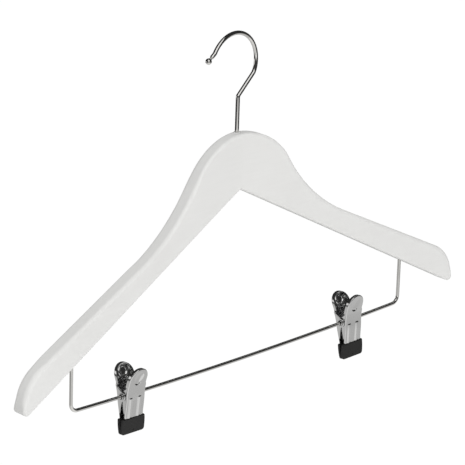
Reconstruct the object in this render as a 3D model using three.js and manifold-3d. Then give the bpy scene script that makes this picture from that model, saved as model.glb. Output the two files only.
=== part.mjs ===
// A shirt hanger: two wooden arms glued at the middle and swept gently forward, a wire hook that swivels
// in the head, and a wire bar under the arms that carries two sprung clips.
// Millimetres, +Z up, +X along the span, the front facing -Y.
// The origin is on the inside of the hook, above the stem, where the hanger sits on a rail.
import * as THREE from 'three';
import { mergeVertices } from 'three/addons/utils/BufferGeometryUtils.js';
import Module from 'manifold-3d';

const wasm = await Module();
wasm.setup();

// Clearances
const FIT_GAP = 0.3;
const BAR_CLEARANCE = 0.55;

// Wooden arms, measured from the apex of the underside
const SPAN = 445;
const THICKNESS = 13;
const SWEEP = THREE.MathUtils.degToRad(4.6);
const UNDERSIDE_SLOPE = THREE.MathUtils.degToRad(28.3);
const SHOULDER_SLOPE = THREE.MathUtils.degToRad(26.1);
const SHOULDER_RISE = 14.8;
const HEAD_HEIGHT = 42.6;
const HEAD_RADIUS = 55.8;
const NECK_RADIUS = 141;
const TIP_RADIUS = 32;
const HEEL_RADIUS = 3.6;
const END_LAND = 1;
const EDGE_ROUND = 3.2;

// Swivel hook
const HOOK_WIRE = 2.9;
const HOOK_RADIUS = 23.9;
const HOOK_OFFSET = -5.6;
const HOOK_RISE = 52.4;
const HOOK_LEAD_ANGLE = THREE.MathUtils.degToRad(-18);
const HOOK_LEAD_LENGTH = 2;
const HOOK_NECK_SLOPE = THREE.MathUtils.degToRad(43.2);
const HOOK_END_ANGLE = THREE.MathUtils.degToRad(150);
const HOOK_BEND_RADIUS = 2.6;
const HOOK_TIP_LENGTH = 7.2;
const HOOK_TIP_ANGLE = THREE.MathUtils.degToRad(216);
const HOOK_BALL = 4.3;
const HOOK_TURN = THREE.MathUtils.degToRad(3);
const SPIGOT = 2.6;

// Fittings of the hook in the head
const BUSH_WALL = 0.5;
const BUSH_LENGTH = 9;
const BUSH_FLANGE = 5.2;
const BUSH_FLANGE_HEIGHT = 0.5;
const POCKET = 7.4;
const POCKET_ROOF = 8;
const WASHER = 6.4;
const WASHER_HEIGHT = 0.6;
const NUT_WIDTH = 5;
const NUT_HEIGHT = 2;
const SPIGOT_PROUD = 0.8;

// Wire bar
const BAR_WIRE = 2.6;
const BAR_SPAN = 340.8;
const BAR_DROP = 128.6;
const BAR_BOW = 3.1;
const BAR_LEAN = 1.5;
const BAR_BEND_RADIUS = 6;
const LEG_DEPTH = 10;

// Clips, measured from the axis of the bar
const LEFT_CLIP_X = -112.7;
const RIGHT_CLIP_X = 115.2;
const LEFT_CLIP_SWING = THREE.MathUtils.degToRad(2.7);
const RIGHT_CLIP_SWING = THREE.MathUtils.degToRad(6.6);
const CLIP_REACH_IN = 16;
const CLIP_REACH_OUT = 150;
const SHEET = 0.8;
const RIM = 1.8;
const TAB_RISE = 21.9;
const TAB_SPREAD = 11.5;
const TAB_HALF_WIDTH = 8.6;
const PLATE_STANDOFF = 4.4;
const ELBOW_RISE = 3;
const EAR_RISE = 7.8;
const EAR_DROP = 13.2;
const EAR_HEEL = 1.2;
const EAR_RADIUS = 3.7;
const OUTER_EAR_HALF_WIDTH = 9.5;
const RIB_SPACING = 8.4;
const RIB_RADIUS = 1.1;
const TUBE_WALL = 0.4;
const TUBE_HEAD = 6.4;
const TUBE_HEAD_WIDTH = 0.5;
const SPRING_WIRE = 1;
const SPRING_TURNS = 4.5;
const SPRING_PITCH = 1.25;
const SPRING_ARM_RISE = 16;
const PAD_WIDTH = 22;
const PAD_TOP = -17.2;
const PAD_HEIGHT = 12.4;
const PAD_THICKNESS = 2.2;
const PAD_STANDOFF = 2.05;
const PAD_TILT = THREE.MathUtils.degToRad(5.2);
const PAD_CORNER = 2;
const PAD_EDGE = 0.4;
const TONGUE_HALF_WIDTH = 8;
const TONGUE_LENGTH = 7.5;

// Facets
const ROUND_SIDES = 24;
const WIRE_SIDES = 10;
const ARC_STEPS = 12;
const LARGE = 1000;

// Finishes
const paint = () => new THREE.MeshStandardMaterial({ color: 0xf1f1ee, roughness: 0.55, metalness: 0 });
const chrome = () => new THREE.MeshStandardMaterial({ color: 0xc9cbcd, roughness: 0.15, metalness: 1 });
const steel = () => new THREE.MeshStandardMaterial({ color: 0x9a9ca0, roughness: 0.35, metalness: 1 });
const rubber = () => new THREE.MeshStandardMaterial({ color: 0x262626, roughness: 0.75, metalness: 0 });
const nylon = () => new THREE.MeshStandardMaterial({ color: 0xf1f1ee, roughness: 0.6, metalness: 0 });

// Solids and meshes
function toSolid(geometry) {
  const bare = geometry.clone();
  bare.deleteAttribute('normal');
  bare.deleteAttribute('uv');
  const merged = mergeVertices(bare, 1e-4);
  const vertProperties = new Float32Array(merged.attributes.position.array);
  const triVerts = new Uint32Array(merged.index.array);
  return new wasm.Manifold(new wasm.Mesh({ numProp: 3, vertProperties, triVerts }));
}

function toGeometry(solid) {
  const { vertProperties, triVerts } = solid.getMesh();
  const geometry = new THREE.BufferGeometry();
  geometry.setAttribute('position', new THREE.BufferAttribute(vertProperties, 3));
  geometry.setIndex(new THREE.BufferAttribute(triVerts, 1));
  return geometry;
}

function addMesh(group, name, geometry, material) {
  const mesh = new THREE.Mesh(geometry, material);
  mesh.name = name;
  group.add(mesh);
}

function box(x0, x1, y0, y1, z0, z1) {
  const geometry = new THREE.BoxGeometry(x1 - x0, y1 - y0, z1 - z0);
  return geometry.translate((x0 + x1) / 2, (y0 + y1) / 2, (z0 + z1) / 2);
}

// An upright cylinder from z0 to z1
function post(radius, z0, z1, x = 0, y = 0) {
  const geometry = new THREE.CylinderGeometry(radius, radius, z1 - z0, ROUND_SIDES);
  return geometry.rotateX(Math.PI / 2).translate(x, y, (z0 + z1) / 2);
}

// An outline drawn in X and Z, extruded evenly to both sides of Y = 0
function frontSlab(points, depth, round = 0) {
  const geometry = new THREE.ExtrudeGeometry(new THREE.Shape(points), {
    depth: depth - 2 * round,
    bevelEnabled: round > 0,
    bevelThickness: round,
    bevelSize: round,
    bevelOffset: -round,
    bevelSegments: 3,
  });
  return geometry.translate(0, 0, round - depth / 2).rotateX(Math.PI / 2);
}

// An outline drawn in Y and Z, extruded along X from x0 to x1
function sideSlab(points, x0, x1) {
  const outline = new THREE.Shape(points);
  const geometry = new THREE.ExtrudeGeometry(outline, { depth: x1 - x0, bevelEnabled: false });
  return geometry.translate(0, 0, x0).applyMatrix4(new THREE.Matrix4().makeBasis(
    new THREE.Vector3(0, 1, 0),
    new THREE.Vector3(0, 0, 1),
    new THREE.Vector3(1, 0, 0),
  ));
}

// Outlines
const point = (x, z) => new THREE.Vector2(x, z);

function polar(centre, radius, angle) {
  return point(centre.x + radius * Math.cos(angle), centre.y + radius * Math.sin(angle));
}

function arc(centre, radius, from, to, steps = ARC_STEPS) {
  const angles = Array.from({ length: steps + 1 }, (_, i) => from + (to - from) * i / steps);
  return angles.map((angle) => polar(centre, radius, angle));
}

// The rounded corner between two straight edges that meet at a point
function fillet(before, corner, after, radius, steps = ARC_STEPS) {
  const toBefore = before.clone().sub(corner).normalize();
  const toAfter = after.clone().sub(corner).normalize();
  const half = Math.acos(toBefore.dot(toAfter)) / 2;
  const inward = toBefore.clone().add(toAfter).normalize();
  const centre = corner.clone().addScaledVector(inward, radius / Math.sin(half));
  const start = corner.clone().addScaledVector(toBefore, radius / Math.tan(half)).sub(centre).angle();
  const end = corner.clone().addScaledVector(toAfter, radius / Math.tan(half)).sub(centre).angle();
  const turn = Math.atan2(Math.sin(end - start), Math.cos(end - start));
  return arc(centre, radius, start, start + turn, steps);
}

function mirrored(points) {
  return points.map((p) => point(-p.x, p.y)).reverse();
}

// A wire through given points, drawn with one ring of sides at each of them
class WirePath extends THREE.Curve {
  constructor(points) {
    super();
    this.points = points;
  }

  getSpacedPoints() {
    return this.points;
  }

  getTangentAt(u) {
    const last = this.points.length - 1;
    const i = Math.round(u * last);
    const ahead = this.points[Math.min(i + 1, last)];
    const behind = this.points[Math.max(i - 1, 0)];
    return ahead.clone().sub(behind).normalize();
  }
}

function wire(points, diameter, sides = WIRE_SIDES) {
  const section = new THREE.Shape(arc(point(0, 0), diameter / 2, 0, 2 * Math.PI, sides).slice(0, -1));
  const extrudePath = new WirePath(points);
  return new THREE.ExtrudeGeometry(section, { extrudePath, steps: points.length - 1 });
}

// Wooden arms
function undersideHeight(x) {
  return -Math.abs(x) * Math.tan(UNDERSIDE_SLOPE);
}

function armLine(x) {
  return -Math.abs(x) * Math.tan(SWEEP);
}

// The right half of the outline, from the heel of the tip round to the top of the head
function rightOutline() {
  const end = SPAN / 2;
  const apex = point(0, 0);
  const heel = point(end, undersideHeight(end));
  const tip = point(end, SHOULDER_RISE - end * Math.tan(SHOULDER_SLOPE));
  const headCentre = point(0, HEAD_HEIGHT - HEAD_RADIUS);
  const along = point(Math.cos(SHOULDER_SLOPE), -Math.sin(SHOULDER_SLOPE));
  const above = point(Math.sin(SHOULDER_SLOPE), Math.cos(SHOULDER_SLOPE));
  const reach = HEAD_RADIUS + NECK_RADIUS;
  const start = point(0, SHOULDER_RISE).addScaledVector(above, NECK_RADIUS);
  const offset = start.clone().sub(headCentre);
  const travel = Math.sqrt(reach ** 2 - offset.lengthSq() + offset.dot(along) ** 2) - offset.dot(along);
  const neckCentre = start.addScaledVector(along, travel);
  const headAngle = neckCentre.clone().sub(headCentre).angle();
  const shoulderAngle = Math.PI * 1.5 - SHOULDER_SLOPE;
  const heelReach = HEEL_RADIUS / Math.tan((Math.PI / 2 - UNDERSIDE_SLOPE) / 2);
  const roundRoom = tip.y - heel.y - heelReach - END_LAND;
  const tipRadius = Math.min(TIP_RADIUS, roundRoom / Math.tan((Math.PI / 2 - SHOULDER_SLOPE) / 2));
  return [
    ...fillet(apex, heel, tip, HEEL_RADIUS, 4),
    ...fillet(heel, tip, point(0, SHOULDER_RISE), tipRadius),
    ...arc(neckCentre, NECK_RADIUS, shoulderAngle, headAngle + Math.PI),
    ...arc(headCentre, HEAD_RADIUS, headAngle, Math.PI / 2).slice(1),
  ];
}

function sweptForward(geometry) {
  const position = geometry.attributes.position;
  for (let i = 0; i < position.count; i += 1) {
    position.setY(i, position.getY(i) + armLine(position.getX(i)));
  }
  return geometry;
}

const bushRadius = HOOK_WIRE / 2 + FIT_GAP + BUSH_WALL;
const flangeSeat = HEAD_HEIGHT - BUSH_FLANGE_HEIGHT / 2;

function arm(side) {
  const right = rightOutline();
  const outline = [point(0, 0), ...right, ...mirrored(right).slice(1)];
  const whole = toSolid(frontSlab(outline, THICKNESS, EDGE_ROUND));
  const from = side > 0 ? 0 : -LARGE;
  const half = box(from, from + LARGE, -LARGE, LARGE, -LARGE, LARGE);
  const swept = sweptForward(toGeometry(whole.intersect(toSolid(half))));
  const legX = side * BAR_SPAN / 2;
  const legHole = post(
    BAR_WIRE / 2 + FIT_GAP,
    undersideHeight(legX) - LEG_DEPTH,
    undersideHeight(legX) + LEG_DEPTH + FIT_GAP,
    legX,
    armLine(legX),
  );
  return toGeometry(toSolid(swept)
    .subtract(toSolid(legHole))
    .subtract(toSolid(post(POCKET / 2, -POCKET, POCKET_ROOF)))
    .subtract(toSolid(post(HOOK_WIRE / 2 + FIT_GAP, 0, HEAD_HEIGHT)))
    .subtract(toSolid(post(bushRadius + FIT_GAP, flangeSeat - BUSH_LENGTH - FIT_GAP, LARGE)))
    .subtract(toSolid(post(BUSH_FLANGE / 2 + FIT_GAP, flangeSeat - FIT_GAP, LARGE))));
}

// Swivel hook
const hookCentre = point(HOOK_OFFSET, HEAD_HEIGHT + HOOK_RISE);
const saddleHeight = hookCentre.y + Math.sqrt((HOOK_RADIUS - HOOK_WIRE / 2) ** 2 - HOOK_OFFSET ** 2);
const washerTop = POCKET_ROOF - FIT_GAP;
const nutTop = washerTop - WASHER_HEIGHT - FIT_GAP;

function swivelHook() {
  const lead = polar(hookCentre, HOOK_RADIUS, HOOK_LEAD_ANGLE);
  const knee = polar(lead, HOOK_LEAD_LENGTH, HOOK_LEAD_ANGLE - Math.PI / 2);
  const kneeTurn = HOOK_LEAD_ANGLE + Math.PI / 2 - HOOK_NECK_SLOPE;
  const elbow = point(0, knee.y - knee.x * Math.tan(HOOK_NECK_SLOPE));
  const stemFoot = point(0, POCKET_ROOF + FIT_GAP);
  const loopEnd = polar(hookCentre, HOOK_RADIUS, HOOK_END_ANGLE);
  const ballCentre = polar(loopEnd, HOOK_TIP_LENGTH, HOOK_TIP_ANGLE);
  const path = [
    stemFoot,
    ...fillet(stemFoot, elbow, knee, HOOK_BEND_RADIUS, 5),
    ...fillet(elbow, knee, lead, HOOK_LEAD_LENGTH / Math.tan(kneeTurn / 2), 4),
    ...arc(hookCentre, HOOK_RADIUS, HOOK_LEAD_ANGLE, HOOK_END_ANGLE, 26).slice(1),
    polar(loopEnd, HOOK_TIP_LENGTH / 3, HOOK_TIP_ANGLE),
    ballCentre,
  ];
  const rod = wire(path.map((p) => new THREE.Vector3(p.x, 0, p.y)), HOOK_WIRE);
  const ball = new THREE.SphereGeometry(HOOK_BALL / 2, 16, 10).translate(ballCentre.x, 0, ballCentre.y);
  const spigot = post(SPIGOT / 2, nutTop - NUT_HEIGHT - SPIGOT_PROUD, stemFoot.y + HOOK_WIRE);
  const hook = toSolid(rod).add(toSolid(ball)).add(toSolid(spigot));
  return toGeometry(hook).rotateZ(HOOK_TURN);
}

function hookWasher() {
  const bore = SPIGOT / 2 + FIT_GAP;
  const washerFoot = washerTop - WASHER_HEIGHT;
  const profile = [
    point(bore, washerFoot),
    point(WASHER / 2, washerFoot),
    point(WASHER / 2, washerTop),
    point(bore, washerTop),
    point(bore, washerFoot),
  ];
  return new THREE.LatheGeometry(profile, ROUND_SIDES).rotateX(Math.PI / 2);
}

function hookBush() {
  const bore = HOOK_WIRE / 2 + FIT_GAP;
  const profile = [
    point(bore, flangeSeat - BUSH_LENGTH),
    point(bushRadius, flangeSeat - BUSH_LENGTH),
    point(bushRadius, flangeSeat),
    point(BUSH_FLANGE / 2, flangeSeat),
    point(BUSH_FLANGE / 2 - BUSH_FLANGE_HEIGHT / 2, flangeSeat + BUSH_FLANGE_HEIGHT),
    point(bore, flangeSeat + BUSH_FLANGE_HEIGHT),
    point(bore, flangeSeat - BUSH_LENGTH),
  ];
  return new THREE.LatheGeometry(profile, ROUND_SIDES).rotateX(Math.PI / 2);
}

function hookNut() {
  const corner = NUT_WIDTH / 2 / Math.cos(Math.PI / 6);
  const hexagon = new THREE.Shape(arc(point(0, 0), corner, 0, 2 * Math.PI, 6).slice(0, -1));
  const blank = new THREE.ExtrudeGeometry(hexagon, { depth: NUT_HEIGHT, bevelEnabled: false });
  blank.translate(0, 0, nutTop - NUT_HEIGHT);
  const thread = post(SPIGOT / 2 + FIT_GAP, nutTop - LARGE, nutTop + LARGE);
  return toGeometry(toSolid(blank).subtract(toSolid(thread)));
}

// Wire bar, a shallow bow between two legs that are pressed up into the arms
const barEnd = BAR_SPAN / 2;
const barLine = armLine(barEnd);

function barHeight(x) {
  return -BAR_DROP - BAR_BOW * (1 - (x / barEnd) ** 2) + BAR_LEAN * x / barEnd;
}

function barSlope(x) {
  return 2 * BAR_BOW * x / barEnd ** 2 + BAR_LEAN / barEnd;
}

// One leg and its bend, from the top of the leg down into the span
function barCorner(side) {
  const end = side * barEnd;
  const legTop = point(end, undersideHeight(end) + LEG_DEPTH);
  const corner = point(end, barHeight(end));
  const alongSpan = point(0, corner.y - end * barSlope(end));
  return [legTop, ...fillet(legTop, corner, alongSpan, BAR_BEND_RADIUS, 6)];
}

function trouserBar() {
  const left = barCorner(-1);
  const right = barCorner(1).reverse();
  const from = left[left.length - 1].x;
  const to = right[0].x;
  const steps = 24;
  const span = Array.from({ length: steps - 1 }, (_, i) => from + (to - from) * (i + 1) / steps);
  const path = [...left, ...span.map((x) => point(x, barHeight(x))), ...right];
  return wire(path.map((p) => new THREE.Vector3(p.x, barLine, p.y)), BAR_WIRE);
}

// Clips
const tubeBore = BAR_WIRE / 2 + BAR_CLEARANCE;
const tubeRadius = tubeBore + TUBE_WALL;
const innerEarHalfWidth = OUTER_EAR_HALF_WIDTH - SHEET - FIT_GAP;
const tongueEnd = PAD_TOP - TONGUE_LENGTH;
const jawFoot = PAD_TOP + FIT_GAP;

// The middle of the sheet inside the pad, which leans towards the other pad
function tongueAt(height) {
  const drop = PAD_TOP - Math.max(height, PAD_TOP - PAD_HEIGHT);
  return PAD_STANDOFF - drop * Math.tan(PAD_TILT);
}

// The bent line of the rear jaw's sheet from its foot up to the tab, moved back by shift
function sheetLine(shift, foot) {
  return [
    point(tongueAt(foot) + shift, foot),
    point(tongueAt(jawFoot + SHEET) + shift, jawFoot + SHEET),
    point(PLATE_STANDOFF + shift, -ELBOW_RISE),
    point(PLATE_STANDOFF + shift, ELBOW_RISE),
    point(TAB_SPREAD + shift, TAB_RISE),
  ];
}

function sheetAt(height) {
  const line = sheetLine(0, tongueEnd);
  const above = line.findIndex((p) => p.y > height);
  const share = (height - line[above - 1].y) / (line[above].y - line[above - 1].y);
  return line[above - 1].x + share * (line[above].x - line[above - 1].x);
}

// A band of sheet between two shifted lines that stays behind the plane where the jaws meet
function bentSheet(outer, inner, foot, halfWidth) {
  const meeting = FIT_GAP / 2;
  const inside = sheetLine(inner, foot).map((p) => point(Math.max(p.x, meeting), p.y));
  const outline = [...sheetLine(outer, foot), ...inside.reverse()];
  return toSolid(sideSlab(outline, -halfWidth, halfWidth));
}

// One side of the front view of a jaw above its pad, drawn smaller by inset, from the foot to the top
function jawSide(earHalf, inset, bottom) {
  const tab = TAB_HALF_WIDTH - inset;
  const ear = earHalf - inset;
  return [
    point(ear, bottom),
    point(ear, EAR_RISE),
    point(tab, EAR_RISE + SHEET),
    ...arc(point(0, TAB_RISE - TAB_HALF_WIDTH), tab, 0, Math.PI / 2, 8),
  ];
}

// The whole front view: the left ear of the rear jaw goes outside its neighbour and the right one inside
function jawOutline(inset, bottom) {
  const right = jawSide(innerEarHalfWidth, inset, bottom);
  const left = jawSide(OUTER_EAR_HALF_WIDTH, inset, bottom);
  return [...right, ...mirrored(left).slice(1)];
}

// A side ear that carries the pivot, from the sheet to just past the axis
function ear(inner, outer) {
  const outline = [
    point(EAR_HEEL, -EAR_DROP + SHEET),
    point(sheetAt(-EAR_DROP), -EAR_DROP),
    point(PLATE_STANDOFF, -ELBOW_RISE),
    point(PLATE_STANDOFF, ELBOW_RISE),
    point(sheetAt(EAR_RISE), EAR_RISE),
    ...arc(point(0, 0), EAR_RADIUS, Math.PI / 2, Math.PI * 1.5, 10),
  ];
  return toSolid(sideSlab(outline, inner, outer));
}

// Two pressed ribs on the outer face, running down to the pad
function rib(x) {
  const top = point(PLATE_STANDOFF, -ELBOW_RISE * 1.5);
  const foot = point(sheetAt(jawFoot + RIB_RADIUS) + SHEET / 2, jawFoot + RIB_RADIUS);
  const length = top.distanceTo(foot);
  const geometry = new THREE.CapsuleGeometry(RIB_RADIUS, length, 3, 10).rotateX(Math.PI / 2);
  geometry.rotateX(Math.atan2(foot.x - top.x, top.y - foot.y));
  return toSolid(geometry.translate(x, (top.x + foot.x) / 2, (top.y + foot.y) / 2));
}

function rearJaw() {
  const view = (inset, bottom) => toSolid(frontSlab(jawOutline(inset, bottom), LARGE));
  const shell = bentSheet(SHEET / 2, SHEET / 2 - RIM, jawFoot, LARGE).intersect(view(0, jawFoot));
  const hollow = bentSheet(-SHEET / 2, -LARGE, -LARGE, LARGE).intersect(view(SHEET, -LARGE));
  const belowFoot = box(-LARGE, LARGE, -LARGE, LARGE, -LARGE, jawFoot + SHEET);
  const band = bentSheet(SHEET / 2, -SHEET / 2, tongueEnd, TONGUE_HALF_WIDTH);
  const tongue = band.intersect(toSolid(belowFoot));
  const pivotRadius = tubeRadius + FIT_GAP;
  const pivot = new THREE.CylinderGeometry(pivotRadius, pivotRadius, LARGE, ROUND_SIDES);
  const ribs = rib(RIB_SPACING / 2).add(rib(-RIB_SPACING / 2));
  return shell
    .add(ribs)
    .subtract(hollow)
    .add(tongue)
    .add(ear(innerEarHalfWidth - SHEET, innerEarHalfWidth))
    .add(ear(-OUTER_EAR_HALF_WIDTH, SHEET - OUTER_EAR_HALF_WIDTH))
    .subtract(toSolid(pivot.rotateZ(Math.PI / 2)));
}

// A rubber cap with a slot for the jaw's tongue, leaning with the tongue and flat where the pads meet
function rearPad() {
  const half = PAD_WIDTH / 2;
  const right = [
    ...fillet(point(0, -PAD_HEIGHT), point(half, -PAD_HEIGHT), point(half, 0), PAD_CORNER, 5),
    ...fillet(point(half, -PAD_HEIGHT), point(half, 0), point(0, 0), PAD_EDGE * 2, 3),
  ];
  const cap = frontSlab([...right, ...mirrored(right)], PAD_THICKNESS, PAD_EDGE);
  const slotHalf = TONGUE_HALF_WIDTH + FIT_GAP;
  const slotDepth = SHEET / 2 + FIT_GAP;
  const slot = box(-slotHalf, slotHalf, -slotDepth, slotDepth, -TONGUE_LENGTH - FIT_GAP, LARGE);
  const leaning = toGeometry(toSolid(cap).subtract(toSolid(slot))).rotateX(-PAD_TILT);
  leaning.translate(0, PAD_STANDOFF, PAD_TOP);
  const behindMeeting = box(-LARGE, LARGE, FIT_GAP / 2, LARGE, -LARGE, LARGE);
  return toSolid(leaning).intersect(toSolid(behindMeeting));
}

// A hollow rivet round the bar, with a rolled head outside each outer ear
function pivotTube() {
  const end = OUTER_EAR_HALF_WIDTH + FIT_GAP;
  const headEnd = end + TUBE_HEAD_WIDTH;
  const profile = [
    point(tubeBore, -headEnd),
    point(TUBE_HEAD / 2, -headEnd),
    point(TUBE_HEAD / 2, -end),
    point(tubeRadius, -end),
    point(tubeRadius, end),
    point(TUBE_HEAD / 2, end),
    point(TUBE_HEAD / 2, headEnd),
    point(tubeBore, headEnd),
    point(tubeBore, -headEnd),
  ];
  return new THREE.LatheGeometry(profile, ROUND_SIDES).rotateZ(Math.PI / 2);
}

// A coil round the tube whose two arms press on the insides of the tabs
function torsionSpring() {
  const radius = tubeRadius + FIT_GAP + SPRING_WIRE / 2;
  const halfCoil = SPRING_TURNS * SPRING_PITCH / 2;
  const armInset = SHEET / 2 + FIT_GAP + SPRING_WIRE / 2;
  const armFoot = PLATE_STANDOFF - armInset;
  const armEnd = sheetAt(SPRING_ARM_RISE) - armInset;
  const steps = Math.round(SPRING_TURNS * 14);
  const coil = Array.from({ length: steps + 1 }, (_, i) => {
    const turn = -2 * Math.PI * SPRING_TURNS * i / steps;
    const x = halfCoil * (2 * i / steps - 1);
    return new THREE.Vector3(x, radius * Math.cos(turn), radius * Math.sin(turn));
  });
  const path = [
    new THREE.Vector3(-halfCoil, armEnd, SPRING_ARM_RISE),
    new THREE.Vector3(-halfCoil, armFoot, ELBOW_RISE),
    ...coil,
    new THREE.Vector3(halfCoil, -armFoot, ELBOW_RISE),
    new THREE.Vector3(halfCoil, -armEnd, SPRING_ARM_RISE),
  ];
  return wire(path, SPRING_WIRE, 8);
}

// One clip, set on the straight line that best follows the bowed bar over the clip's travel, its tabs
// swung back
function clip(side, x, swing) {
  const group = new THREE.Group();
  const middle = side * (CLIP_REACH_OUT + CLIP_REACH_IN) / 2;
  const slope = barSlope(middle);
  const bulge = BAR_BOW * ((CLIP_REACH_OUT - CLIP_REACH_IN) / 2 / barEnd) ** 2;
  group.position.set(x, barLine, barHeight(middle) + slope * (x - middle) + bulge / 2);
  group.rotation.set(-swing, -Math.atan(slope), 0, 'YXZ');
  const name = side < 0 ? 'left' : 'right';
  addMesh(group, `${name}_pivot_tube`, pivotTube(), chrome());
  addMesh(group, `${name}_rear_jaw`, toGeometry(rearJaw()), chrome());
  addMesh(group, `${name}_rear_pad`, toGeometry(rearPad()), rubber());
  addMesh(group, `${name}_torsion_spring`, torsionSpring(), steel());
  addMesh(group, `${name}_front_jaw`, toGeometry(rearJaw()).rotateZ(Math.PI), chrome());
  addMesh(group, `${name}_front_pad`, toGeometry(rearPad()).rotateZ(Math.PI), rubber());
  return group;
}

const hanger = new THREE.Group();
hanger.position.z = -saddleHeight;
addMesh(hanger, 'left_arm', arm(-1), paint());
addMesh(hanger, 'right_arm', arm(1), paint());
addMesh(hanger, 'swivel_hook', swivelHook(), chrome());
addMesh(hanger, 'hook_bush', hookBush(), nylon());
addMesh(hanger, 'hook_washer', hookWasher(), steel());
addMesh(hanger, 'hook_nut', hookNut(), steel());
addMesh(hanger, 'trouser_bar', trouserBar(), chrome());
hanger.add(clip(-1, LEFT_CLIP_X, LEFT_CLIP_SWING));
hanger.add(clip(1, RIGHT_CLIP_X, RIGHT_CLIP_SWING));

export default hanger;
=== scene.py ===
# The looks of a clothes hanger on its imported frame: painted wooden arms, chrome wire hook and bar,
# pressed chrome clips with rubber pads.
# Shapes are drawn in millimetres from the apex of the arms' underside, and placed in the frame in
# metres.
import math

import bmesh
import bpy
from mathutils import Matrix, Vector


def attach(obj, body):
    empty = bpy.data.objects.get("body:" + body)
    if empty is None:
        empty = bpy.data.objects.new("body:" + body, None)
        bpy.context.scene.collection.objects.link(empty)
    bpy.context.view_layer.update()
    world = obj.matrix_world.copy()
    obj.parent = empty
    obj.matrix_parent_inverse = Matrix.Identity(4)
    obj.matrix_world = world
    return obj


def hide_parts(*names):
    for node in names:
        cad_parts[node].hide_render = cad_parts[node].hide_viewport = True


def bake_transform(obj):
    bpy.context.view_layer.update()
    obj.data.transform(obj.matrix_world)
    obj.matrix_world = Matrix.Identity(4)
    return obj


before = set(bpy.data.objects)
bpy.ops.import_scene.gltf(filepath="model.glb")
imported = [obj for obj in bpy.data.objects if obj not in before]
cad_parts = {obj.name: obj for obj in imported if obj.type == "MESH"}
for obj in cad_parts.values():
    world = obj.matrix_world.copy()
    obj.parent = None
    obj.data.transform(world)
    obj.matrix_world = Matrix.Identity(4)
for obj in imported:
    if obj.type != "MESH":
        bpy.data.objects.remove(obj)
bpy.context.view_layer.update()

MILLIMETRE = 0.001
FIT_GAP = 0.3
SEGMENT = math.pi / 48
FINE_SEGMENT = math.pi / 60
LONG_SEGMENT = math.pi / 90
STRAIGHT_STEP = 6.0
SAME_POINT = 1e-6
SAME_VERTEX = 1e-4
QUARTER_TURN = (0.0, 0.4, 0.8, 1.2, math.pi / 2)
LATHE_SIDES = 48

# Wooden arms
SPAN = 445.0
THICKNESS = 13.0
SWEEP = math.radians(4.6)
CREASE = 5.0
CREASE_CUTS = (0.8, 1.6, 2.5, 3.5, 4.7, 6.2, 8.2, 11, 15, 21, 30)
UNDERSIDE_SLOPE = math.radians(28.3)
SHOULDER_SLOPE = math.radians(26.1)
SHOULDER_RISE = 14.8
HEAD_HEIGHT = 42.6
HEAD_RADIUS = 55.8
NECK_RADIUS = 141.0
TIP_RADIUS = 32.0
TIP_SEGMENT = math.pi / 64
HEEL_RADIUS = 3.6
HEEL_SEGMENT = math.pi / 16
END_LAND = 1.0
UNDERSIDE_ROUND = 1.3
END_ROUND = 4.0
END_BACK_ROUND = 4.8
SHOULDER_ROUND = 3.1
HEAD_ROUND = 2.4
HEAD_BACK_ROUND = 5.4
NECK_BACK_ROUND = 3.9
ROUND_BLEND = 9.0
ARM_EDGE_STEPS = 7

# Swivel hook. The plate draws the wire fuller than the solid, on its radius. The ball is swept
# with the wire and ends just short of its pole, and the chord is the angle before the loop's end
# from which the wire turns into its tip. Stops keep straight runs clear of the bend that follows.
HOOK_WIRE = 2.9
HOOK_PLATE = 0.1
HOOK_SIDES = 32
HOOK_RADIUS = 23.9
HOOK_OFFSET = -5.6
HOOK_RISE = 52.4
HOOK_LEAD_ANGLE = math.radians(-18)
HOOK_LEAD_LENGTH = 2.0
HOOK_NECK_SLOPE = math.radians(43.2)
HOOK_END_ANGLE = math.radians(150)
HOOK_END_CHORD = 0.12
HOOK_BEND_RADIUS = 1.7
HOOK_STEM_STOP = 4
HOOK_TIP_BEND = 6.0
HOOK_TIP_LENGTH = 7.7
HOOK_TIP_ANGLE = math.radians(216)
HOOK_BALL = 4.7
HOOK_BALL_STEPS = 22
HOOK_BALL_POLE = 0.03
HOOK_BALL_NECK = 2.0
HOOK_BALL_NECK_LENGTH = 3.6
HOOK_BALL_NECK_LAP = 0.05
HOOK_BALL_NECK_TURNS = (0.0, 0.5, 1.0, math.pi / 2)
HOOK_TURN = math.radians(3)
SPIGOT = 2.6
SPIGOT_FOOT = 4.0
SPIGOT_CHAMFER = 0.25
SPIGOT_STOP = 0.1
POCKET = 7.4
POCKET_ROOF = 8.0
BUSH_WALL = 0.5
BUSH_LENGTH = 9.0
BUSH_FLANGE = 5.2
BUSH_FLANGE_HEIGHT = 0.5
BUSH_CHAMFER = 0.15
STEM_CUT_LAP = 1
BUSH_CUT_PAST = 9
FLANGE_CUT_PAST = 10

# Wire bar, with its plate as on the hook
BAR_WIRE = 2.6
BAR_PLATE = 0.06
BAR_SIDES = 28
BAR_SPAN = 340.8
BAR_DROP = 128.6
BAR_BOW = 3.1
BAR_LEAN = 1.5
BAR_PIECES = 80
BAR_BEND_RADIUS = 6.0
BAR_BEND_SEGMENT = math.pi / 40
BAR_CLEARANCE = 0.55
LEG_DEPTH = 10.0
LEG_STEP = 8.0

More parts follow.
